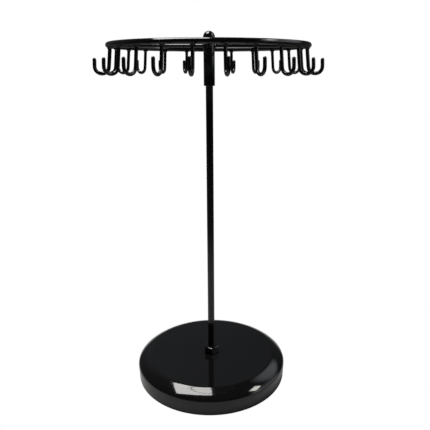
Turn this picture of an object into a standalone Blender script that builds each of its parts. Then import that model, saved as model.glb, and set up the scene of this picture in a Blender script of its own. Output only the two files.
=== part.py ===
"""Rotating display rack for necklaces and bracelets.

A heavy round base carries a thin upright pole.  A loose sleeve turns on the
top of the pole and carries a wire ring, with a row of open hooks welded
under it.  The sleeve is closed at the top, so it hangs on a steel ball that
lies on the end of the pole.

Units are metres, +Z is up, and the origin is the middle of the underside.
"""
import math

import bpy

MM = 0.001
GAP = 0.3 * MM                      # clearance between pieces that touch

# Base: a pressed steel cover over a cast weight, on a soft pad
BASE_TOP_Z = 23.0 * MM              # highest circle, at the edge of the shallow dish
BASE_SEAT_Z = 22.0 * MM             # middle of the dish, where the collar nut sits
BASE_SEAT_R = 9.5 * MM
BASE_DISH_R = 63.4 * MM
# Falling edge of the base: arcs that follow on from each other, as (radius, slope at the end)
BASE_EDGE_ARCS = ((6.0 * MM, math.radians(17)),
                  (28.0 * MM, math.radians(41)),
                  (3.5 * MM, math.radians(90)))
BASE_FOOT_R = 75.9 * MM             # outer radius at the foot of the side wall
BASE_FOOT_Z = 0.3 * MM              # the cover hangs this far above the table
BASE_CURL_R = 1.5 * MM              # foot edge, curled inwards
BASE_CURL_ANGLE = math.radians(60)
BASE_SHEET = 1.2 * MM
PAD_R = 72.0 * MM
PAD_THICKNESS = 2.0 * MM
WEIGHT_R = 73.0 * MM
WEIGHT_WEB = 6.0 * MM               # thickness of the weight over its hollow
WEIGHT_HOLLOW_R = 55.0 * MM

# Pole and the parts that clamp it to the base
POLE_R = 3.4 * MM
POLE_THREAD_R = 2.95 * MM
POLE_FOOT_Z = 3.0 * MM
COLLAR_FLATS = 14.2 * MM
COLLAR_HEIGHT = 7.0 * MM
COLLAR_TURN = math.radians(5)       # how the collar nut was left when tightened
WASHER_R = 9.0 * MM
WASHER_THICKNESS = 1.5 * MM
LOCK_WASHER_R = 5.6 * MM
LOCK_WASHER_THICKNESS = 1.5 * MM
LOCK_WASHER_SPLIT = 1.2 * MM
NUT_FLATS = 10.0 * MM
NUT_HEIGHT = 4.8 * MM
NUT_FACE_SHARE = 0.97               # a nut's flat face, as a share of its width across flats
NUT_CONE_ANGLE = math.radians(30)

# Carousel: hub, ring and spokes
RING_Z = 332.8 * MM                 # height of the ring's centre line
RING_R = 89.5 * MM
RING_WIRE_R = 2.4 * MM
SPOKE_COUNT = 4
SPOKE_WIRE_R = 1.6 * MM
SLEEVE_R = 5.15 * MM
SLEEVE_BORE_R = 3.85 * MM
SLEEVE_RISE = 1.8 * MM              # sleeve top above the ring's centre line
SLEEVE_DROP = 35.4 * MM             # sleeve foot below the ring's centre line
PLUG_LENGTH = 8.0 * MM
PLUG_SINK = 0.4 * MM                # plug top below the sleeve top
PLUG_HOLE_R = 1.8 * MM
PLUG_HOLE_DEPTH = 5.5 * MM
BALL_R = 3.0 * MM                   # steel ball between plug and pole
FINIAL_R = 5.45 * MM
FINIAL_STUD_R = 1.5 * MM
FINIAL_STUD_LENGTH = 5.0 * MM

# Hooks: drops are measured down from the ring's centre line
HOOK_COUNT = 23
HOOK_WIRE_R = 1.5 * MM
HOOK_STEM_TOP_R = 88.6 * MM
HOOK_STEM_FOOT_R = 90.6 * MM
HOOK_STEM_DROP = 18.8 * MM
HOOK_WIDTH = 12.3 * MM              # stem to outer arm, centre to centre
HOOK_BEND_DEPTH = 5.5 * MM
HOOK_TIP_R = 102.5 * MM
HOOK_TIP_DROP = 11.0 * MM
HOOK_BEND_STEPS = 8

# Facets
COVER_STEPS = 60
EDGE_STEPS = (2, 4, 3)
CURL_STEPS = 2
SMALL_STEPS = 24
RING_SIDES = 8

BLACK = (0.010, 0.010, 0.011, 1.0)
IRON = (0.060, 0.058, 0.056, 1.0)
STEEL = (0.560, 0.570, 0.580, 1.0)
RUBBER = (0.020, 0.020, 0.020, 1.0)


def clear_scene():
    for obj in list(bpy.data.objects):
        bpy.data.objects.remove(obj, do_unlink=True)


def make_collection(name):
    collection = bpy.data.collections.new(name)
    bpy.context.scene.collection.children.link(collection)
    return collection


def paint(obj, colour, roughness, metallic):
    """Give an object its own Principled material."""
    material = bpy.data.materials.new(obj.name)
    material.use_nodes = True
    shader = material.node_tree.nodes["Principled BSDF"]
    shader.inputs["Base Color"].default_value = colour
    shader.inputs["Roughness"].default_value = roughness
    shader.inputs["Metallic"].default_value = metallic
    if obj.material_slots:
        obj.material_slots[0].link = 'OBJECT'
        obj.material_slots[0].material = material
    else:
        obj.data.materials.append(material)


def gloss_black(obj):
    paint(obj, BLACK, 0.12, 0.0)


def bright_steel(obj):
    paint(obj, STEEL, 0.35, 1.0)


def move_to(obj, collection):
    for old in list(obj.users_collection):
        old.objects.unlink(obj)
    collection.objects.link(obj)


def smooth(mesh):
    mesh.shade_smooth()
    mesh.set_sharp_from_angle(angle=math.radians(35))


def turned(name, profile, steps, collection, closed=False):
    """Turn a profile of (radius, height) points about the Z axis.

    An open profile starts on the axis at the top and ends on it at the
    bottom.  A closed one runs down its outer side and back up its bore.
    """
    count = len(profile)
    edges = [(i, i + 1) for i in range(count - 1)]
    if closed:
        edges.append((count - 1, 0))
    mesh = bpy.data.meshes.new(name)
    mesh.from_pydata([(r, 0.0, z) for r, z in profile], edges, [])
    obj = bpy.data.objects.new(name, mesh)
    collection.objects.link(obj)
    screw = obj.modifiers.new("Screw", 'SCREW')
    screw.axis = 'Z'
    screw.angle = math.tau
    screw.steps = steps
    screw.render_steps = steps
    screw.use_merge_vertices = True
    screw.merge_threshold = 0.00001
    return obj


def apply_modifiers(obj):
    """Replace an object's mesh by its evaluated one, shaded by angle."""
    depsgraph = bpy.context.evaluated_depsgraph_get()
    evaluated = obj.evaluated_get(depsgraph)
    mesh = bpy.data.meshes.new_from_object(evaluated, depsgraph=depsgraph)
    mesh.name = obj.name
    obj.modifiers.clear()
    obj.data = mesh
    smooth(mesh)
    return obj


def arc(centre_r, centre_z, radius, start, end, steps):
    """Points of an arc; angles are measured from straight up, outwards."""
    points = []
    for i in range(steps + 1):
        angle = start + (end - start) * i / steps
        points.append((centre_r + radius * math.sin(angle), centre_z + radius * math.cos(angle)))
    return points


def base_outline(inset):
    """The base's section from its middle over the edge to the side wall, moved inwards by inset."""
    points = [(POLE_THREAD_R + GAP, BASE_SEAT_Z - inset), (BASE_SEAT_R, BASE_SEAT_Z - inset)]
    centre_r = BASE_DISH_R
    centre_z = BASE_TOP_Z
    slope = 0.0
    for (radius, end), steps in zip(BASE_EDGE_ARCS, EDGE_STEPS):
        centre_r -= radius * math.sin(slope)
        centre_z -= radius * math.cos(slope)
        points += arc(centre_r, centre_z, radius - inset, slope, end, steps)[0 if slope == 0.0 else 1:]
        centre_r += radius * math.sin(end)
        centre_z += radius * math.cos(end)
        slope = end
    return points


def make_base_cover(parts):
    """Pressed steel cover: shallow dish, falling edge, side wall and curled foot."""
    foot = arc(BASE_FOOT_R - BASE_CURL_R, BASE_FOOT_Z + BASE_CURL_R * math.sin(BASE_CURL_ANGLE),
               BASE_CURL_R, math.pi / 2, math.pi / 2 + BASE_CURL_ANGLE, CURL_STEPS)
    obj = turned("base_cover", base_outline(0.0) + foot, COVER_STEPS, parts)
    shell = obj.modifiers.new("Sheet", 'SOLIDIFY')
    shell.thickness = BASE_SHEET
    shell.offset = -1.0
    gloss_black(apply_modifiers(obj))


def make_base_weight(parts):
    """Cast weight that fills the cover, hollow below so that the pole's nut fits under it."""
    top = base_outline(BASE_SHEET + GAP)
    bottom_z = PAD_THICKNESS + GAP
    web_z = BASE_SEAT_Z - BASE_SHEET - GAP - WEIGHT_WEB
    bore_r = POLE_THREAD_R + GAP
    profile = [point for point in top if point[0] < WEIGHT_R]
    inner, outer = top[len(profile) - 1], top[len(profile)]
    share = (WEIGHT_R - inner[0]) / (outer[0] - inner[0])
    corner_z = inner[1] + (outer[1] - inner[1]) * share
    profile += [(WEIGHT_R, corner_z), (WEIGHT_R, bottom_z)]
    profile += [(WEIGHT_HOLLOW_R, bottom_z), (WEIGHT_HOLLOW_R, web_z), (bore_r, web_z)]
    obj = turned("base_weight", profile, COVER_STEPS, parts, closed=True)
    paint(apply_modifiers(obj), IRON, 0.75, 0.0)
    return web_z


def make_base_pad(parts):
    """Soft disc under the weight; the rack stands on it."""
    bpy.ops.mesh.primitive_cylinder_add(vertices=COVER_STEPS, radius=PAD_R, depth=PAD_THICKNESS,
                                        location=(0.0, 0.0, PAD_THICKNESS / 2))
    obj = bpy.context.object
    obj.name = "base_pad"
    move_to(obj, parts)
    smooth(obj.data)
    paint(obj, RUBBER, 0.85, 0.0)


def make_washer(name, outer_r, thickness, top_z, parts):
    bore_r = POLE_THREAD_R + GAP
    low_z = top_z - thickness
    profile = [(bore_r, top_z), (outer_r, top_z), (outer_r, low_z), (bore_r, low_z)]
    obj = turned(name, profile, SMALL_STEPS, parts, closed=True)
    bright_steel(apply_modifiers(obj))
    return obj


def split_lock_washer(washer, mid_z, cutters):
    """Cut the slanted split that makes the lock washer springy."""
    bpy.ops.mesh.primitive_cube_add(size=1.0, location=(LOCK_WASHER_R, 0.0, mid_z))
    cutter = bpy.context.object
    cutter.name = "lock_washer_split"
    cutter.scale = (2 * LOCK_WASHER_R, LOCK_WASHER_SPLIT, 4 * LOCK_WASHER_THICKNESS)
    cutter.rotation_euler.x = math.radians(25)
    hide_cutter(cutter, cutters)
    cut(washer, cutter, 'DIFFERENCE')


def hide_cutter(obj, cutters):
    move_to(obj, cutters)
    obj.hide_render = True
    obj.display_type = 'WIRE'


def cut(obj, cutter, operation):
    boolean = obj.modifiers.new(cutter.name, 'BOOLEAN')
    boolean.operation = operation
    boolean.solver = 'EXACT'
    boolean.object = cutter


def make_nut(name, flats, height, low_z, turn, parts, cutters):
    """Hex nut: a prism, cut back to a blank with coned faces and bored for the thread."""
    corner_r = flats / math.sqrt(3)
    middle = (0.0, 0.0, low_z + height / 2)
    bpy.ops.mesh.primitive_cylinder_add(vertices=6, radius=corner_r, depth=height,
                                        location=middle, rotation=(0.0, 0.0, turn))
    nut = bpy.context.object
    nut.name = name
    move_to(nut, parts)
    over = 1.0 * MM
    top_z = low_z + height
    cone_r = flats / 2 * NUT_FACE_SHARE
    skirt_r = corner_r + over
    skirt_z = top_z - (skirt_r - cone_r) * math.tan(NUT_CONE_ANGLE)
    blank = [(0.0, top_z), (cone_r, top_z), (skirt_r, skirt_z),
             (skirt_r, low_z - over), (0.0, low_z - over)]
    coned = turned(name + "_blank", blank, 2 * SMALL_STEPS, cutters)
    hide_cutter(coned, cutters)
    cut(nut, coned, 'INTERSECT')
    bpy.ops.mesh.primitive_cylinder_add(vertices=SMALL_STEPS, radius=POLE_THREAD_R + GAP,
                                        depth=height + 2 * over, location=middle)
    bore = bpy.context.object
    bore.name = name + "_bore"
    hide_cutter(bore, cutters)
    cut(nut, bore, 'DIFFERENCE')
    return nut


def make_clamp(web_z, parts, cutters):
    """Collar nut above the cover; washer, lock washer and nut under the weight."""
    collar = make_nut("collar_nut", COLLAR_FLATS, COLLAR_HEIGHT, BASE_SEAT_Z + GAP, COLLAR_TURN,
                      parts, cutters)
    gloss_black(collar)
    washer_top = web_z - GAP
    make_washer("flat_washer", WASHER_R, WASHER_THICKNESS, washer_top, parts)
    lock_top = washer_top - WASHER_THICKNESS - GAP
    lock_washer = make_washer("lock_washer", LOCK_WASHER_R, LOCK_WASHER_THICKNESS, lock_top, parts)
    split_lock_washer(lock_washer, lock_top - LOCK_WASHER_THICKNESS / 2, cutters)
    nut_top = lock_top - LOCK_WASHER_THICKNESS - GAP
    nut = make_nut("base_nut", NUT_FLATS, NUT_HEIGHT, nut_top - NUT_HEIGHT, 0.0, parts, cutters)
    bright_steel(nut)


def plug_foot_z():
    return RING_Z + SLEEVE_RISE - PLUG_SINK - PLUG_LENGTH


def pole_top_z():
    return plug_foot_z() - 2 * BALL_R - 2 * GAP


def make_pole(parts):
    """Plain rod with a reduced, threaded foot that passes through the collar nut."""
    shoulder_z = BASE_SEAT_Z + GAP + COLLAR_HEIGHT + GAP
    top_z = pole_top_z()
    edge = 0.5 * MM
    profile = [(0.0, top_z), (POLE_R - edge, top_z), (POLE_R, top_z - edge), (POLE_R, shoulder_z),
               (POLE_THREAD_R, shoulder_z), (POLE_THREAD_R, POLE_FOOT_Z + edge),
               (POLE_THREAD_R - edge, POLE_FOOT_Z), (0.0, POLE_FOOT_Z)]
    gloss_black(apply_modifiers(turned("pole", profile, SMALL_STEPS, parts)))


def make_thrust_ball(parts):
    bpy.ops.mesh.primitive_uv_sphere_add(segments=SMALL_STEPS, ring_count=12, radius=BALL_R,
                                         location=(0.0, 0.0, pole_top_z() + GAP + BALL_R))
    obj = bpy.context.object
    obj.name = "thrust_ball"
    move_to(obj, parts)
    obj.data.shade_smooth()
    bright_steel(obj)


def ride(obj, pivot):
    """Fix a piece to the turning carousel."""
    obj.parent = pivot
    return obj


def make_hub(pivot, parts):
    """Sleeve, the plug that closes it and the round finial screwed into the plug.

    Heights are measured from the ring's centre line, where the pivot is.
    """
    edge = 0.4 * MM
    top = SLEEVE_RISE
    foot = -SLEEVE_DROP
    sleeve = [(SLEEVE_BORE_R, top), (SLEEVE_R - edge, top), (SLEEVE_R, top - edge),
              (SLEEVE_R, foot + edge), (SLEEVE_R - edge, foot), (SLEEVE_BORE_R, foot)]
    tube = turned("hub_sleeve", sleeve, 2 * SMALL_STEPS, parts, closed=True)
    gloss_black(ride(apply_modifiers(tube), pivot))
    plug_r = SLEEVE_BORE_R - GAP
    plug_top = top - PLUG_SINK
    plug_foot = plug_top - PLUG_LENGTH
    hole_foot = plug_top - PLUG_HOLE_DEPTH
    plug = [(0.0, hole_foot), (PLUG_HOLE_R, hole_foot), (PLUG_HOLE_R, plug_top), (plug_r, plug_top),
            (plug_r, plug_foot), (0.0, plug_foot)]
    bright_steel(ride(apply_modifiers(turned("hub_plug", plug, SMALL_STEPS, parts)), pivot))
    centre = top + GAP + FINIAL_R
    neck_angle = math.pi - math.asin(FINIAL_STUD_R / FINIAL_R)
    finial = arc(0.0, centre, FINIAL_R, 0.0, neck_angle, 14)
    finial[0] = (0.0, centre + FINIAL_R)
    stud_foot = plug_top - FINIAL_STUD_LENGTH
    finial += [(FINIAL_STUD_R, stud_foot), (0.0, stud_foot)]
    gloss_black(ride(apply_modifiers(turned("finial", finial, SMALL_STEPS, parts)), pivot))


def make_ring(pivot, parts):
    bpy.ops.mesh.primitive_torus_add(major_radius=RING_R, minor_radius=RING_WIRE_R,
                                     major_segments=4 * HOOK_COUNT, minor_segments=RING_SIDES)
    obj = bpy.context.object
    obj.name = "ring"
    move_to(obj, parts)
    obj.data.shade_smooth()
    gloss_black(ride(obj, pivot))


def wire_curve(name, points, radius):
    """A wire along points in the XZ plane, with closed ends."""
    curve = bpy.data.curves.new(name, 'CURVE')
    curve.dimensions = '3D'
    curve.bevel_depth = radius
    curve.bevel_resolution = 2
    curve.use_fill_caps = True
    spline = curve.splines.new('POLY')
    spline.points.add(len(points) - 1)
    for point, (x, z) in zip(spline.points, points):
        point.co = (x, 0.0, z, 1.0)
    return curve


def place_around(prefix, curve, count, start, pivot, parts):
    """Spread copies of one wire evenly around the pivot's axis."""
    for i in range(count):
        obj = bpy.data.objects.new("%s_%02d" % (prefix, i + 1), curve)
        parts.objects.link(obj)
        obj.rotation_euler.z = start + math.tau * i / count
        gloss_black(ride(obj, pivot))


def make_spokes(pivot, parts):
    """Straight wires from the sleeve to the inside of the ring."""
    inner = SLEEVE_R + GAP
    outer = RING_R - RING_WIRE_R - GAP
    curve = wire_curve("spoke", [(inner, 0.0), (outer, 0.0)], SPOKE_WIRE_R)
    place_around("spoke", curve, SPOKE_COUNT, 0.0, pivot, parts)


def hook_points():
    """Centre line of a hook: stem, half-round bend and outer arm, as (radius, height)."""
    stem_top = (HOOK_STEM_TOP_R, -(RING_WIRE_R + GAP))
    tip = (HOOK_TIP_R, -HOOK_TIP_DROP)
    bend = []
    for i in range(HOOK_BEND_STEPS + 1):
        angle = math.pi * i / HOOK_BEND_STEPS
        radius = HOOK_STEM_FOOT_R + HOOK_WIDTH / 2 * (1.0 - math.cos(angle))
        bend.append((radius, -HOOK_STEM_DROP - HOOK_BEND_DEPTH * math.sin(angle)))
    return [stem_top] + bend + [tip]


def make_hooks(pivot, parts):
    """Open hooks welded under the ring, mouths outwards; the first is at +Y."""
    curve = wire_curve("hook", hook_points(), HOOK_WIRE_R)
    place_around("hook", curve, HOOK_COUNT, math.pi / 2, pivot, parts)


def main():
    clear_scene()
    parts = make_collection("rotating_display_rack")
    cutters = make_collection("cutters")
    make_base_pad(parts)
    make_base_cover(parts)
    web_z = make_base_weight(parts)
    make_clamp(web_z, parts, cutters)
    make_pole(parts)
    make_thrust_ball(parts)
    pivot = bpy.data.objects.new("carousel_pivot", None)
    pivot.location = (0.0, 0.0, RING_Z)
    parts.objects.link(pivot)
    make_hub(pivot, parts)
    make_ring(pivot, parts)
    make_spokes(pivot, parts)
    make_hooks(pivot, parts)


main()
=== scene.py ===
"""Finished look of the rotating display rack, in a plain studio.

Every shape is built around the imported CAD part: heights and radii come from
its nodes.  Gloss black paint covers the base, pole, hub, ring and hooks.
"""
import math

import bpy
import numpy as np
from mathutils import Matrix, Vector


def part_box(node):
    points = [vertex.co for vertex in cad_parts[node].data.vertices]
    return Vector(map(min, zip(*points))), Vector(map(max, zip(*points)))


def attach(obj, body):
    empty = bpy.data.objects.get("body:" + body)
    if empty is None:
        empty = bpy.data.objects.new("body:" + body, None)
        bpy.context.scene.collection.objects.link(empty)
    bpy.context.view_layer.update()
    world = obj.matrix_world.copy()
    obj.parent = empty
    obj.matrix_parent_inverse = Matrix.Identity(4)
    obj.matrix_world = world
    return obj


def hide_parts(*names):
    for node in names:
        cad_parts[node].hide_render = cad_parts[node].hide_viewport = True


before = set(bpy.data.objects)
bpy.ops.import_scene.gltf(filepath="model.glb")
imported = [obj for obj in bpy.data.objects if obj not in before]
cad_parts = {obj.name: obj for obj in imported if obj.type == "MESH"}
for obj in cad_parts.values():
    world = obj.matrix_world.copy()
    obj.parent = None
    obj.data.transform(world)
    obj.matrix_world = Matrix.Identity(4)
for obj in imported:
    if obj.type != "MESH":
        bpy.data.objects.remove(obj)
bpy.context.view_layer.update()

MM = 0.001


def box_size(node):
    low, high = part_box(node)
    return high - low


# Measured on the CAD part
RING_LOW, RING_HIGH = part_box("ring")
RING_Z = (RING_LOW.z + RING_HIGH.z) / 2
RING_WIRE_R = (RING_HIGH.z - RING_LOW.z) / 2
RING_R = (RING_HIGH.x - RING_LOW.x) / 2 - RING_WIRE_R
SLEEVE_R = box_size("hub_sleeve").x / 2
SLEEVE_FOOT_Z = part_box("hub_sleeve")[0].z
SLEEVE_TOP_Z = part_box("hub_sleeve")[1].z
POLE_R = box_size("pole").x / 2
POLE_FOOT_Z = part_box("pole")[0].z
POLE_TOP_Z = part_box("pole")[1].z
COVER_FOOT_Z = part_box("base_cover")[0].z
COVER_TOP_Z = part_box("base_cover")[1].z
PAD_R = box_size("base_pad").x / 2
PAD_TOP_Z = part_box("base_pad")[1].z
COLLAR_FOOT_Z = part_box("collar_nut")[0].z
COLLAR_TOP_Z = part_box("collar_nut")[1].z
FINIAL_R = box_size("finial").x / 2
FINIAL_FOOT_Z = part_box("finial")[0].z
FINIAL_TOP_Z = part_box("finial")[1].z
SPOKE_WIRE_R = box_size("spoke_01").z / 2
HOOK_WIRE_R = box_size("hook_01").x / 2
HOOK_FOOT_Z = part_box("hook_01")[0].z
HOOK_COUNT = sum(name.startswith("hook_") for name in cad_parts)
SPOKE_COUNT = sum(name.startswith("spoke_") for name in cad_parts)

# Base cover; each edge arc has a radius, the slope where it ends, and its steps
SHEET = 1.2 * MM
GAP = 0.3 * MM
SEAT_R = 9.5 * MM                   # level face under the collar
DISH_R = 63.4 * MM
DISH_DEPTH = 1.0 * MM
DISH_STEPS = 24
EDGE_ARCS = ((6.0 * MM, math.radians(17), 12),
             (28.0 * MM, math.radians(41), 24),
             (3.5 * MM, math.radians(90), 16))
WALL_STEPS = 8
FOOT_R = 75.9 * MM
CURL_R = 1.5 * MM
CURL_ANGLE = math.radians(60)
CURL_OUTER_STEPS = 10
CURL_INNER_STEPS = 6
PAD_EASE = 0.5 * MM

# Collar nut
COLLAR_FLATS = 14.2 * MM
COLLAR_TURN = math.radians(5)
COLLAR_EASE = 0.12 * MM
COLLAR_CONE_R = COLLAR_FLATS / 2 * 0.97             # each face is level up to here
COLLAR_CONE_SLOPE = math.radians(30)
COLLAR_STEPS = 240
COLLAR_SHARP = 20                   # degrees between faces that stay a crisp edge

# Pole and its thread
POLE_EASE = 0.6 * MM
POLE_EASE_STEPS = 6
SHAFT_STEPS = 40
THREAD_R = 2.95 * MM
THREAD_PITCH = 1.0 * MM
THREAD_DEPTH = 0.35 * MM
THREAD_END_TRIM = 0.1 * MM
THREAD_END_EASE = 0.5 * MM

# Hub
SLEEVE_BORE_R = 3.85 * MM
SLEEVE_EASE = 0.45 * MM
STUD_R = 1.5 * MM
STUD_EASE = 0.3 * MM
BALL_STEPS = 48

# Ring, with the butt weld that closes it
RING_STEPS = 720
RING_SIDES = 32
RING_WELD_ANGLE = math.radians(152)
RING_WELD_SWELL = 0.28 * MM
RING_WELD_FADE = 1.3 * MM

# Spokes: both ends are sunk into their welds; stretches are measured from the nearer end
SPOKE_IN_HUB = 0.8 * MM
SPOKE_IN_RING = 0.6 * RING_WIRE_R
SPOKE_WELD_SWELL = 0.7 * MM
SPOKE_WELD_FADE = 0.9 * MM
SPOKE_RING_WELD = 0.8               # share of the hub weld's size
SPOKE_HUB_FINE = 5.0 * MM           # close stations up to here
SPOKE_PLAIN_FROM = 6.0 * MM
SPOKE_PLAIN_TO = 5.0 * MM
SPOKE_RING_FINE = 4.5 * MM
SPOKE_FINE_STEPS = 24
SPOKE_PLAIN_STEPS = 30

# Hooks: radii from the axis, drops from the ring's centre line
STEM_TOP_R = RING_R - 0.9 * MM
STEM_FOOT_R = RING_R + 1.1 * MM
STEM_DROP = 18.8 * MM
STEM_STEPS = 24
HOOK_WIDTH = 12.3 * MM
BEND_STEPS = 32
TIP_R = RING_R + 13.0 * MM
TIP_DROP = 11.0 * MM
TIP_STEPS = 12
HOOK_SMOOTHINGS = 12
HOOK_WELD_SWELL = 0.75 * MM
HOOK_WELD_FADE = 0.8 * MM
HOOK_FINE = 5.0 * MM                # close stations up to here, from the weld
HOOK_FINE_STEPS = 22
HOOK_PLAIN_FROM = 5.3 * MM
HOOK_PLAIN_TO = 1.1 * HOOK_WIRE_R   # from the tip
HOOK_PLAIN_STEPS = 70
HOOK_CAP_STEPS = 8
HOOK_END_FLAT = 0.004 * MM

ROUND_STEPS = 256
ROD_STEPS = 96
WIRE_SIDES = 24
EASE_STEPS = 4
SHARP = 32                          # degrees between faces that stay a crisp edge
ON_AXIS = 1e-7                      # a smaller radius is a point on the axis
HIDDEN_EASE = 0.15 * MM

# Paint and metal: each colour runs between two close values
PAINT_DARK = (0.0026, 0.0026, 0.0028, 1.0)
PAINT_PALE = (0.0040, 0.0040, 0.0042, 1.0)
PAINT_IOR = 1.47
ZINC_DARK = (0.48, 0.49, 0.50, 1.0)
ZINC_PALE = (0.66, 0.67, 0.69, 1.0)
IRON_DARK = (0.030, 0.029, 0.028, 1.0)
IRON_PALE = (0.085, 0.080, 0.075, 1.0)
FOAM_DARK = (0.014, 0.014, 0.014, 1.0)
FOAM_PALE = (0.030, 0.030, 0.030, 1.0)

# Camera: angles in radians, lens and sensor in millimetres
CAMERA_AT = (0.0, -0.4741, 0.3133)
CAMERA_YAW = 0.0283
CAMERA_PITCH = 0.2582
CAMERA_ROLL = -0.0007
CAMERA_LENS = 41.83
CAMERA_SENSOR = 36.0
CAMERA_SHIFT = (-0.0208, -0.0349)
CAMERA_CLIP = 0.01

# Paper on the floor; its colour darkens outwards as a painted pool of light, seen only in reflections
FLOOR_REACH = 4.0
PAINTED_POOL_R = 0.22               # the painted pool of light on the paper is even this far from the axis
# painted shade: past here the paper's colour has faded to its dark far value
PAINTED_POOL_END_R = 0.52
PAPER_ALBEDO = 0.39
PAPER_PAINTED_SHADE_ALBEDO = 0.07
PAPER_ROUGHNESS = 0.9

# Area lights: place, target, width and depth, radiance, colour
SOFTBOX = ((-0.50, 0.365, 1.94), (-0.50, 0.895, 1.092), (1.0, 1.66), 13.6, (1.0, 0.99, 0.97))
LAMP = ((1.609, -0.127, 1.857), (0.0, 0.0, 0.0), (0.48, 0.42), 14.5, (1.0, 0.97, 0.90))

# Room
WHITE = (1.0, 1.0, 1.0, 1.0)
ROOM_TINT = (0.94, 0.99, 1.06, 1.0)
ROOM_DARK = 0.035
ROOM_LOW = 0.10                     # brightness of the far surroundings below the horizon
HORIZON_FADE = (-0.01, 0.03)
# Pale patches of the room, in degrees: direction from +X towards +Y, height above the
# horizon, angle where the patch ends, angle of its even core.  Last comes its strength.
ROOM_PATCHES = ((109, 38, 30, 4, 0.065),
                (90, 17, 50, 10, 0.03),
                (143, 22, 40, 5, 0.03),
                (40, 40, 20, 6, 1.05),
                (-2, 12, 36, 14, 0.95),
                (-23, 17, 11, 5, 1.3),
                (-15, 33, 8, 3, 1.4))


# ---------------------------------------------------------------- meshes

def add_mesh(name, vertices, faces, material, body, replaced, sharp=SHARP):
    mesh = bpy.data.meshes.new(name)
    mesh.from_pydata([tuple(v) for v in vertices], [], faces)
    mesh.validate()
    mesh.update()
    mesh.shade_smooth()
    mesh.set_sharp_from_angle(angle=math.radians(sharp))
    mesh.materials.append(material)
    obj = bpy.data.objects.new(name, mesh)
    bpy.context.scene.collection.objects.link(obj)
    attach(obj, body)
    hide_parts(replaced)


def lathe(profile, steps, closed=False):
    """Turn a section round the Z axis.  An open section may start or end on the axis."""
    vertices = []
    rows = []
    for radius, z in profile:
        if radius < ON_AXIS:
            rows.append([len(vertices)] * steps)
            vertices.append((0.0, 0.0, z))
            continue
        rows.append(list(range(len(vertices), len(vertices) + steps)))
        for i in range(steps):
            angle = math.tau * i / steps
            vertices.append((radius * math.cos(angle), radius * math.sin(angle), z))
    pairs = list(zip(rows, rows[1:]))
    if closed:
        pairs.append((rows[-1], rows[0]))
    faces = []
    for upper, lower in pairs:
        for i in range(steps):
            j = (i + 1) % steps
            face = list(dict.fromkeys([upper[i], lower[i], lower[j], upper[j]]))
            if len(face) > 2:
                faces.append(face)
    return vertices, faces


def closed_faces(rows, steps):
    """Faces between rows of vertices, where each row and the stack of rows is a loop."""
    faces = []
    for row in range(rows):
        a = row * steps
        b = (row + 1) % rows * steps
        for i in range(steps):
            j = (i + 1) % steps
            faces.append([a + i, b + i, b + j, a + j])
    return faces


def straight(start, end, steps):
    """Evenly spaced points on a line, with both its ends."""
    points = []
    for i in range(steps + 1):
        t = i / steps
        points.append((start[0] + (end[0] - start[0]) * t, start[1] + (end[1] - start[1]) * t))
    return points


def arc(centre_r, centre_z, radius, start, end, steps):
    """Points on a circle; the angle is measured from straight up, towards the outside."""
    points = []
    for i in range(steps + 1):
        angle = start + (end - start) * i / steps
        points.append((centre_r + radius * math.sin(angle), centre_z + radius * math.cos(angle)))
    return points


def rounded(before, corner, after, radius):
    """Soft curve that takes the place of one corner of a section."""
    here = Vector(corner)
    start = here + (Vector(before) - here).normalized() * radius
    end = here + (Vector(after) - here).normalized() * radius
    points = []
    for i in range(EASE_STEPS + 1):
        t = i / EASE_STEPS
        points.append(tuple(start * (1 - t) ** 2 + here * 2 * t * (1 - t) + end * t ** 2))
    return points


def bell(distance, width):
    """1 at no distance, falling away softly over the width."""
    return math.exp(-(distance / width) ** 2)


def outward_and_side(angle):
    """Unit vectors away from the axis and along the ring, at an angle from +X."""
    outward = Vector((math.cos(angle), math.sin(angle), 0.0))
    side = Vector((-math.sin(angle), math.cos(angle), 0.0))
    return outward, side


def sweep(centres, radii, side_axis):
    """A round wire along a flat line of centres; side_axis is square to the line's plane."""
    count = len(centres)
    sides = WIRE_SIDES
    vertices = []
    faces = []
    for i, (centre, radius) in enumerate(zip(centres, radii)):
        ahead = centres[min(i + 1, count - 1)] - centres[max(i - 1, 0)]
        across = ahead.normalized().cross(side_axis)
        for k in range(sides):
            angle = math.tau * k / sides
            vertices.append(centre + radius * (math.cos(angle) * side_axis + math.sin(angle) * across))
    for i in range(count - 1):
        for k in range(sides):
            a = i * sides + k
            b = i * sides + (k + 1) % sides
            faces.append([a, b, b + sides, a + sides])
    first = len(vertices)
    vertices += [centres[0], centres[-1]]
    last_row = (count - 1) * sides
    for k in range(sides):
        following = (k + 1) % sides
        faces.append([first, following, k])
        faces.append([first + 1, last_row + k, last_row + following])
    return vertices, faces


# ---------------------------------------------------------------- materials

def new_material(name):
    material = bpy.data.materials.new(name)
    material.use_nodes = True
    tree = material.node_tree
    return material, tree, tree.nodes["Principled BSDF"]


def noise(tree, scale, detail, roughness=0.5):
    coords = tree.nodes.new("ShaderNodeTexCoord")
    node = tree.nodes.new("ShaderNodeTexNoise")
    node.inputs["Scale"].default_value = scale
    node.inputs["Detail"].default_value = detail
    node.inputs["Roughness"].default_value = roughness
    tree.links.new(coords.outputs["Object"], node.inputs["Vector"])
    return node.outputs["Fac"]


def bump(tree, source, height, below=None):
    """Raise the surface by height metres where source is 1; below is a bump to build on."""
    node = tree.nodes.new("ShaderNodeBump")
    node.inputs["Distance"].default_value = height
    tree.links.new(source, node.inputs["Height"])
    if below is not None:
        tree.links.new(below, node.inputs["Normal"])
    return node.outputs["Normal"]


def spread(tree, source, low, high, start=0.3, end=0.7, interpolation='LINEAR'):
    """Run from low, where source is start, to high, where it is end."""
    node = tree.nodes.new("ShaderNodeMapRange")
    node.interpolation_type = interpolation
    node.inputs["From Min"].default_value = start
    node.inputs["From Max"].default_value = end
    node.inputs["To Min"].default_value = low
    node.inputs["To Max"].default_value = high
    tree.links.new(source, node.inputs["Value"])
    return node.outputs["Result"]


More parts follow.
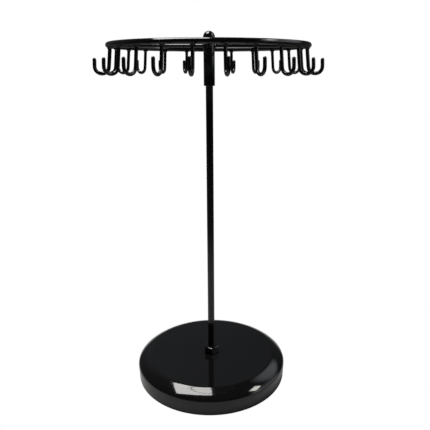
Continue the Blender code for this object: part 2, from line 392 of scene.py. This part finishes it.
def mix_colour(tree, factor, dark, light):
    node = tree.nodes.new("ShaderNodeMix")
    node.data_type = 'RGBA'
    node.inputs["A"].default_value = dark
    node.inputs["B"].default_value = light
    tree.links.new(factor, node.inputs["Factor"])
    return node.outputs["Result"]


def gloss_paint(name, wave_scale, wave_height, peel_height, roughness):
    """Black enamel: slow waves, fine orange peel and uneven gloss."""
    material, tree, shader = new_material(name)
    links = tree.links
    waved = bump(tree, noise(tree, wave_scale, detail=1.0), wave_height)
    peeled = bump(tree, noise(tree, scale=520.0, detail=2.0), peel_height, below=waved)
    links.new(peeled, shader.inputs["Normal"])
    cloud = noise(tree, scale=60.0, detail=4.0, roughness=0.6)
    gloss = spread(tree, cloud, low=roughness * 0.8, high=roughness * 1.25)
    links.new(gloss, shader.inputs["Roughness"])
    tint = mix_colour(tree, noise(tree, scale=25.0, detail=3.0), PAINT_DARK, PAINT_PALE)
    links.new(tint, shader.inputs["Base Color"])
    shader.inputs["IOR"].default_value = PAINT_IOR
    return material


def plated_metal(name):
    """Zinc plate: grey metal with a soft bloom."""
    material, tree, shader = new_material(name)
    links = tree.links
    shader.inputs["Metallic"].default_value = 1.0
    bloom = noise(tree, scale=350.0, detail=4.0, roughness=0.6)
    links.new(mix_colour(tree, bloom, ZINC_DARK, ZINC_PALE), shader.inputs["Base Color"])
    links.new(spread(tree, bloom, low=0.24, high=0.42), shader.inputs["Roughness"])
    grain = noise(tree, scale=2500.0, detail=2.0)
    links.new(bump(tree, grain, height=0.004 * MM), shader.inputs["Normal"])
    return material


def cast_metal(name):
    """Sand-cast iron with a thin dark coat."""
    material, tree, shader = new_material(name)
    links = tree.links
    stain = noise(tree, scale=90.0, detail=5.0, roughness=0.6)
    links.new(mix_colour(tree, stain, IRON_DARK, IRON_PALE), shader.inputs["Base Color"])
    links.new(spread(tree, stain, low=0.6, high=0.85), shader.inputs["Roughness"])
    sand = noise(tree, scale=1400.0, detail=4.0, roughness=0.65)
    links.new(bump(tree, sand, height=0.25 * MM), shader.inputs["Normal"])
    return material


def foam_pad(name):
    """Closed-cell foam: matt black with a fine cell texture."""
    material, tree, shader = new_material(name)
    links = tree.links
    coords = tree.nodes.new("ShaderNodeTexCoord")
    cells = tree.nodes.new("ShaderNodeTexVoronoi")
    cells.inputs["Scale"].default_value = 1400.0
    links.new(coords.outputs["Object"], cells.inputs["Vector"])
    links.new(bump(tree, cells.outputs["Distance"], height=0.2 * MM), shader.inputs["Normal"])
    cloud = noise(tree, scale=45.0, detail=3.0)
    links.new(mix_colour(tree, cloud, FOAM_DARK, FOAM_PALE), shader.inputs["Base Color"])
    links.new(spread(tree, cloud, low=0.75, high=0.95), shader.inputs["Roughness"])
    return material


# ---------------------------------------------------------------- stand

def cover_outline(inset):
    """Section of the cover from the bore over the edge, moved inwards by inset."""
    seat_z = COVER_TOP_Z - DISH_DEPTH - inset
    points = [(THREAD_R + GAP, seat_z)]
    points += straight((SEAT_R, seat_z), (DISH_R, COVER_TOP_Z - inset), DISH_STEPS)
    centre_r = DISH_R
    centre_z = COVER_TOP_Z
    slope = 0.0
    for radius, end, steps in EDGE_ARCS:
        centre_r -= radius * math.sin(slope)
        centre_z -= radius * math.cos(slope)
        points += arc(centre_r, centre_z, radius - inset, slope, end, steps)[1:]
        centre_r += radius * math.sin(end)
        centre_z += radius * math.cos(end)
        slope = end
    return points


def make_cover(material):
    """Pressed sheet: dish, falling edge, side wall and a foot curled inwards."""
    outer = cover_outline(0.0)
    inner = cover_outline(SHEET)
    curl_z = COVER_FOOT_Z + CURL_R
    wall = straight(outer[-1], (FOOT_R, curl_z), WALL_STEPS)[1:-1]
    end = math.pi / 2 + CURL_ANGLE
    foot = arc(FOOT_R - CURL_R, curl_z, CURL_R, math.pi / 2, end, CURL_OUTER_STEPS)
    back = arc(FOOT_R - CURL_R, curl_z, CURL_R - SHEET, end, math.pi / 2, CURL_INNER_STEPS)
    vertices, faces = lathe(outer + wall + foot + back + inner[::-1], ROUND_STEPS, closed=True)
    add_mesh("base_cover_shell", vertices, faces, material, "stand", "base_cover")


def make_pad(material):
    top = (0.0, PAD_TOP_Z)
    foot = (0.0, 0.0)
    top_edge = (PAD_R, PAD_TOP_Z)
    foot_edge = (PAD_R, 0.0)
    section = [top]
    section += rounded(top, top_edge, foot_edge, PAD_EASE)
    section += rounded(top_edge, foot_edge, foot, PAD_EASE)
    section.append(foot)
    vertices, faces = lathe(section, ROUND_STEPS)
    add_mesh("foam_pad", vertices, faces, material, "stand", "base_pad")


def collar_column(angle):
    """Section of the hex nut at one angle, from the bore over the top and down to the foot."""
    ease = COLLAR_EASE
    bore_r = THREAD_R + GAP
    from_flat = (angle - math.pi / 2 - COLLAR_TURN) % (math.pi / 3) - math.pi / 6
    corner = COLLAR_FLATS / 2 / math.cos(math.pi / 6)
    side = min(COLLAR_FLATS / 2 / math.cos(from_flat), corner - ease)
    drop = max(side - COLLAR_CONE_R, 0.0) * math.tan(COLLAR_CONE_SLOPE)
    return [(bore_r, COLLAR_TOP_Z - 3 * ease), (bore_r + 3 * ease, COLLAR_TOP_Z),
            (COLLAR_CONE_R - 2 * ease, COLLAR_TOP_Z), (side - ease, COLLAR_TOP_Z - drop),
            (side, COLLAR_TOP_Z - drop - ease), (side, COLLAR_FOOT_Z + drop + ease),
            (side - ease, COLLAR_FOOT_Z + drop), (COLLAR_CONE_R - 2 * ease, COLLAR_FOOT_Z),
            (bore_r, COLLAR_FOOT_Z)]


def make_collar(material):
    """Hex nut: both faces are coned, so each cone meets the flats in curved edges."""
    angles = [math.tau * i / COLLAR_STEPS for i in range(COLLAR_STEPS)]
    rows = list(zip(*[collar_column(angle) for angle in angles]))
    vertices = []
    for row in rows:
        for angle, (radius, z) in zip(angles, row):
            vertices.append((radius * math.cos(angle), radius * math.sin(angle), z))
    faces = closed_faces(len(rows), COLLAR_STEPS)
    add_mesh("collar_hex", vertices, faces, material, "stand", "collar_nut",
             sharp=COLLAR_SHARP)


def make_pole(material):
    """Rod with a rounded top; its threaded foot has rolled ridges."""
    shoulder_z = COLLAR_TOP_Z + GAP
    edge_z = POLE_TOP_Z - POLE_EASE
    profile = [(0.0, POLE_TOP_Z)]
    profile += arc(POLE_R - POLE_EASE, edge_z, POLE_EASE, 0.0, math.pi / 2, POLE_EASE_STEPS)
    profile += straight((POLE_R, edge_z), (POLE_R, shoulder_z), SHAFT_STEPS)[1:]
    profile.append((THREAD_R, shoulder_z))
    z = shoulder_z - THREAD_PITCH
    while z > POLE_FOOT_Z + 2 * THREAD_PITCH:
        profile += [(THREAD_R, z), (THREAD_R - THREAD_DEPTH, z - THREAD_PITCH / 2)]
        z -= THREAD_PITCH
    profile += [(THREAD_R - THREAD_END_TRIM, POLE_FOOT_Z + THREAD_END_EASE),
                (THREAD_R - THREAD_END_EASE, POLE_FOOT_Z), (0.0, POLE_FOOT_Z)]
    vertices, faces = lathe(profile, ROD_STEPS)
    add_mesh("pole_rod", vertices, faces, material, "stand", "pole")


# ---------------------------------------------------------------- carousel

def make_sleeve(material):
    corners = [(SLEEVE_BORE_R, SLEEVE_TOP_Z), (SLEEVE_R, SLEEVE_TOP_Z),
               (SLEEVE_R, SLEEVE_FOOT_Z), (SLEEVE_BORE_R, SLEEVE_FOOT_Z)]
    section = []
    for i, corner in enumerate(corners):
        section += rounded(corners[i - 1], corner, corners[(i + 1) % len(corners)], SLEEVE_EASE)
    vertices, faces = lathe(section, ROD_STEPS, closed=True)
    add_mesh("sleeve_tube", vertices, faces, material, "carousel", "hub_sleeve")


def make_finial(material):
    """Ball on a short stud."""
    neck = math.pi - math.asin(STUD_R / FINIAL_R)
    profile = arc(0.0, FINIAL_TOP_Z - FINIAL_R, FINIAL_R, 0.0, neck, BALL_STEPS)
    profile += [(STUD_R, FINIAL_FOOT_Z + STUD_EASE), (STUD_R - STUD_EASE, FINIAL_FOOT_Z),
                (0.0, FINIAL_FOOT_Z)]
    vertices, faces = lathe(profile, ROD_STEPS)
    add_mesh("finial_ball", vertices, faces, material, "carousel", "finial")


def make_ring(material):
    """The ring wire, slightly swollen where its two ends are butt welded."""
    vertices = []
    for i in range(RING_STEPS):
        angle = math.tau * i / RING_STEPS
        off_weld = abs((angle - RING_WELD_ANGLE + math.pi) % math.tau - math.pi) * RING_R
        radius = RING_WIRE_R + RING_WELD_SWELL * bell(off_weld, RING_WELD_FADE)
        for k in range(RING_SIDES):
            turn = math.tau * k / RING_SIDES
            across = RING_R + radius * math.cos(turn)
            vertices.append((across * math.cos(angle), across * math.sin(angle),
                             RING_Z + radius * math.sin(turn)))
    faces = closed_faces(RING_STEPS, RING_SIDES)
    add_mesh("ring_wire", vertices, faces, material, "carousel", "ring")


def make_spokes(material):
    """Wires from hub to ring, each flaring into its two welds."""
    inner = SLEEVE_R - SPOKE_IN_HUB
    outer = RING_R - RING_WIRE_R + SPOKE_IN_RING
    at_hub = np.linspace(inner, inner + SPOKE_HUB_FINE, SPOKE_FINE_STEPS)
    plain = np.linspace(inner + SPOKE_PLAIN_FROM, outer - SPOKE_PLAIN_TO, SPOKE_PLAIN_STEPS)
    at_ring = np.linspace(outer - SPOKE_RING_FINE, outer, SPOKE_FINE_STEPS)
    stations = np.concatenate([at_hub, plain, at_ring])
    radii = []
    for station in stations:
        hub_weld = bell(max(station - SLEEVE_R, 0.0), SPOKE_WELD_FADE)
        ring_weld = bell(max(RING_R - RING_WIRE_R - station, 0.0), SPOKE_WELD_FADE)
        flare = min(hub_weld + SPOKE_RING_WELD * ring_weld, 1.0)
        radii.append(SPOKE_WIRE_R + SPOKE_WELD_SWELL * flare)
    for i in range(SPOKE_COUNT):
        outward, side = outward_and_side(math.tau * i / SPOKE_COUNT)
        centres = [outward * float(station) + Vector((0.0, 0.0, RING_Z)) for station in stations]
        vertices, faces = sweep(centres, radii, side)
        add_mesh("spoke_wire_%02d" % (i + 1), vertices, faces, material, "carousel",
                 "spoke_%02d" % (i + 1))


def hook_line():
    """Centre line of a hook, as (radius, z), from inside the ring wire to the tip."""
    bend_z = RING_Z - STEM_DROP
    bend_depth = bend_z - HOOK_WIRE_R - HOOK_FOOT_Z
    points = straight((STEM_TOP_R, RING_Z), (STEM_FOOT_R, bend_z), STEM_STEPS)
    for i in range(1, BEND_STEPS + 1):
        angle = math.pi * i / BEND_STEPS
        points.append((STEM_FOOT_R + HOOK_WIDTH / 2 * (1.0 - math.cos(angle)),
                       bend_z - bend_depth * math.sin(angle)))
    points += straight(points[-1], (TIP_R, RING_Z - TIP_DROP), TIP_STEPS)[1:]
    line = np.array(points)
    for _ in range(HOOK_SMOOTHINGS):
        line[1:-1] = (line[:-2] + 2 * line[1:-1] + line[2:]) / 4
    return line


def hook_section(line):
    """Radius, height and thickness along a hook: weld flare at the ring, soft rounded tip."""
    lengths = np.concatenate([[0.0], np.cumsum(np.hypot(*np.diff(line, axis=0).T))])
    end = lengths[-1]
    at_weld = np.linspace(0.0, HOOK_FINE, HOOK_FINE_STEPS)
    plain = np.linspace(HOOK_PLAIN_FROM, end - HOOK_PLAIN_TO, HOOK_PLAIN_STEPS)
    cap = end - HOOK_WIRE_R * (1 - np.sin(np.linspace(0.0, math.pi / 2, HOOK_CAP_STEPS)))
    stations = np.concatenate([at_weld, plain, cap[:-1], [end - HOOK_END_FLAT]])
    wire_radii = []
    for station in stations:
        off_ring = max(station - RING_WIRE_R, 0.0)
        radius = HOOK_WIRE_R + HOOK_WELD_SWELL * bell(off_ring, HOOK_WELD_FADE)
        into_cap = max(station - (end - HOOK_WIRE_R), 0.0) / HOOK_WIRE_R
        wire_radii.append(radius * math.sqrt(max(1.0 - into_cap ** 2, 0.0)))
    radii = np.interp(stations, lengths, line[:, 0])
    heights = np.interp(stations, lengths, line[:, 1])
    return radii, heights, wire_radii


def make_hooks(material):
    """Equal hooks, evenly spaced round the ring from +Y on."""
    radii, heights, wire_radii = hook_section(hook_line())
    for i in range(HOOK_COUNT):
        outward, side = outward_and_side(math.pi / 2 + math.tau * i / HOOK_COUNT)
        centres = []
        for radius, height in zip(radii, heights):
            centres.append(outward * float(radius) + Vector((0.0, 0.0, float(height))))
        vertices, faces = sweep(centres, wire_radii, side)
        add_mesh("hook_wire_%02d" % (i + 1), vertices, faces, material, "carousel",
                 "hook_%02d" % (i + 1))


def finish_hidden_parts(steel, iron):
    """The clamp, weight, thrust ball and plug keep their CAD shapes; all but the ball are eased."""
    for name in ("flat_washer", "lock_washer", "base_nut", "thrust_ball", "hub_plug", "base_weight"):
        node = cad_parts[name]
        node.data.materials.clear()
        node.data.materials.append(iron if name == "base_weight" else steel)
        if name != "thrust_ball":
            bevel = node.modifiers.new("eased", 'BEVEL')
            bevel.width = HIDDEN_EASE
            bevel.segments = 2
            bevel.limit_method = 'ANGLE'


# ---------------------------------------------------------------- studio

def make_camera():
    data = bpy.data.cameras.new("camera")
    data.lens = CAMERA_LENS
    data.sensor_width = CAMERA_SENSOR
    data.shift_x, data.shift_y = CAMERA_SHIFT
    data.clip_start = CAMERA_CLIP
    camera = bpy.data.objects.new("camera", data)
    ahead = Vector((math.sin(CAMERA_YAW) * math.cos(CAMERA_PITCH),
                    math.cos(CAMERA_YAW) * math.cos(CAMERA_PITCH), -math.sin(CAMERA_PITCH)))
    right = Vector((math.cos(CAMERA_YAW), -math.sin(CAMERA_YAW), 0.0))
    up = right.cross(ahead)
    tilted_right = right * math.cos(CAMERA_ROLL) + up * math.sin(CAMERA_ROLL)
    tilted_up = up * math.cos(CAMERA_ROLL) - right * math.sin(CAMERA_ROLL)
    turn = Matrix((tilted_right, tilted_up, -ahead)).transposed()
    camera.matrix_world = Matrix.Translation(CAMERA_AT) @ turn.to_4x4()
    bpy.context.scene.collection.objects.link(camera)
    bpy.context.scene.camera = camera


def show_white(tree, lit, white, output_node):
    """Plain white to camera rays; reflections and bounced light meet the lit shader."""
    path = tree.nodes.new("ShaderNodeLightPath")
    mix = tree.nodes.new("ShaderNodeMixShader")
    tree.links.new(path.outputs["Is Camera Ray"], mix.inputs["Fac"])
    tree.links.new(lit, mix.inputs[1])
    tree.links.new(white, mix.inputs[2])
    tree.links.new(mix.outputs["Shader"], tree.nodes[output_node].inputs["Surface"])


def make_floor():
    """Plain white floor.  In reflections the paper round the base is pale, and its colour darkens
    further out as a painted pool of light.
    """
    mesh = bpy.data.meshes.new("floor")
    reach = FLOOR_REACH
    corners = [(-reach, -reach, 0.0), (reach, -reach, 0.0), (reach, reach, 0.0), (-reach, reach, 0.0)]
    mesh.from_pydata(corners, [], [[0, 1, 2, 3]])
    floor = bpy.data.objects.new("floor", mesh)
    bpy.context.scene.collection.objects.link(floor)
    material, tree, shader = new_material("floor_paper")
    shader.inputs["Roughness"].default_value = PAPER_ROUGHNESS
    shader.inputs["Specular IOR Level"].default_value = 0.0
    coords = tree.nodes.new("ShaderNodeTexCoord")
    from_axis = tree.nodes.new("ShaderNodeVectorMath")
    from_axis.operation = 'LENGTH'
    tree.links.new(coords.outputs["Object"], from_axis.inputs[0])
    # painted pool of light: the paper's colour fades from pale near the axis to dark further out
    painted_pool_albedo = spread(tree, from_axis.outputs["Value"], PAPER_ALBEDO, PAPER_PAINTED_SHADE_ALBEDO,
                    PAINTED_POOL_R, PAINTED_POOL_END_R, 'SMOOTHSTEP')
    tree.links.new(painted_pool_albedo, shader.inputs["Base Color"])
    glow = tree.nodes.new("ShaderNodeEmission")
    show_white(tree, shader.outputs["BSDF"], glow.outputs["Emission"], "Material Output")
    mesh.materials.append(material)


def area_light(name, at, aim, size, radiance, colour):
    width, depth = size
    data = bpy.data.lights.new(name, 'AREA')
    data.shape = 'RECTANGLE'
    data.size = width
    data.size_y = depth
    data.energy = radiance * math.pi * width * depth
    data.color = colour
    light = bpy.data.objects.new(name, data)
    light.location = at
    light.rotation_euler = (Vector(aim) - Vector(at)).to_track_quat('-Z', 'Y').to_euler()
    bpy.context.scene.collection.objects.link(light)


def room_patch(tree, azimuth, elevation, edge, core, strength):
    """A soft patch of light on the far surroundings; angles in degrees."""
    turn = math.radians(azimuth)
    rise = math.radians(elevation)
    coords = tree.nodes.new("ShaderNodeTexCoord")
    toward = tree.nodes.new("ShaderNodeVectorMath")
    toward.operation = 'DOT_PRODUCT'
    toward.inputs[1].default_value = (math.cos(rise) * math.cos(turn),
                                      math.cos(rise) * math.sin(turn), math.sin(rise))
    tree.links.new(coords.outputs["Generated"], toward.inputs[0])
    return spread(tree, toward.outputs["Value"], 0.0, strength, math.cos(math.radians(edge)),
                  math.cos(math.radians(core)), 'SMOOTHSTEP')


def room_brightness(tree):
    """A faint even light with the patches on top, and one low value below the horizon."""
    above = None
    for patch in ROOM_PATCHES:
        add = tree.nodes.new("ShaderNodeMath")
        add.operation = 'ADD'
        tree.links.new(room_patch(tree, *patch), add.inputs[0])
        if above is None:
            add.inputs[1].default_value = ROOM_DARK
        else:
            tree.links.new(above, add.inputs[1])
        above = add.outputs["Value"]
    coords = tree.nodes.new("ShaderNodeTexCoord")
    split = tree.nodes.new("ShaderNodeSeparateXYZ")
    tree.links.new(coords.outputs["Generated"], split.inputs["Vector"])
    start, end = HORIZON_FADE
    blend = spread(tree, split.outputs["Z"], 0.0, 1.0, start, end, 'SMOOTHSTEP')
    mix = tree.nodes.new("ShaderNodeMix")
    mix.inputs["A"].default_value = ROOM_LOW
    tree.links.new(blend, mix.inputs["Factor"])
    tree.links.new(above, mix.inputs["B"])
    return mix.outputs["Result"]


def make_world():
    """White to the camera; a dim room with pale patches of wall for everything else."""
    world = bpy.data.worlds.new("studio")
    world.use_nodes = True
    bpy.context.scene.world = world
    tree = world.node_tree
    room = tree.nodes["Background"]
    room.inputs["Color"].default_value = ROOM_TINT
    tree.links.new(room_brightness(tree), room.inputs["Strength"])
    paper = tree.nodes.new("ShaderNodeBackground")
    paper.inputs["Color"].default_value = WHITE
    show_white(tree, room.outputs["Background"], paper.outputs["Background"], "World Output")


def main():
    base_paint = gloss_paint("base_enamel", wave_scale=22.0, wave_height=0.16 * MM,
                             peel_height=0.003 * MM, roughness=0.07)
    wire_paint = gloss_paint("wire_enamel", wave_scale=60.0, wave_height=0.008 * MM,
                             peel_height=0.0002 * MM, roughness=0.10)
    steel = plated_metal("zinc_plate")
    iron = cast_metal("cast_iron_coat")
    make_cover(base_paint)
    make_pad(foam_pad("pad_foam"))
    make_collar(wire_paint)
    make_pole(wire_paint)
    make_sleeve(wire_paint)
    make_finial(wire_paint)
    make_ring(wire_paint)
    make_spokes(wire_paint)
    make_hooks(wire_paint)
    finish_hidden_parts(steel, iron)
    make_floor()
    area_light("softbox", *SOFTBOX)
    area_light("lamp", *LAMP)
    make_world()
    make_camera()
    bpy.context.scene.view_settings.view_transform = 'Standard'


main()
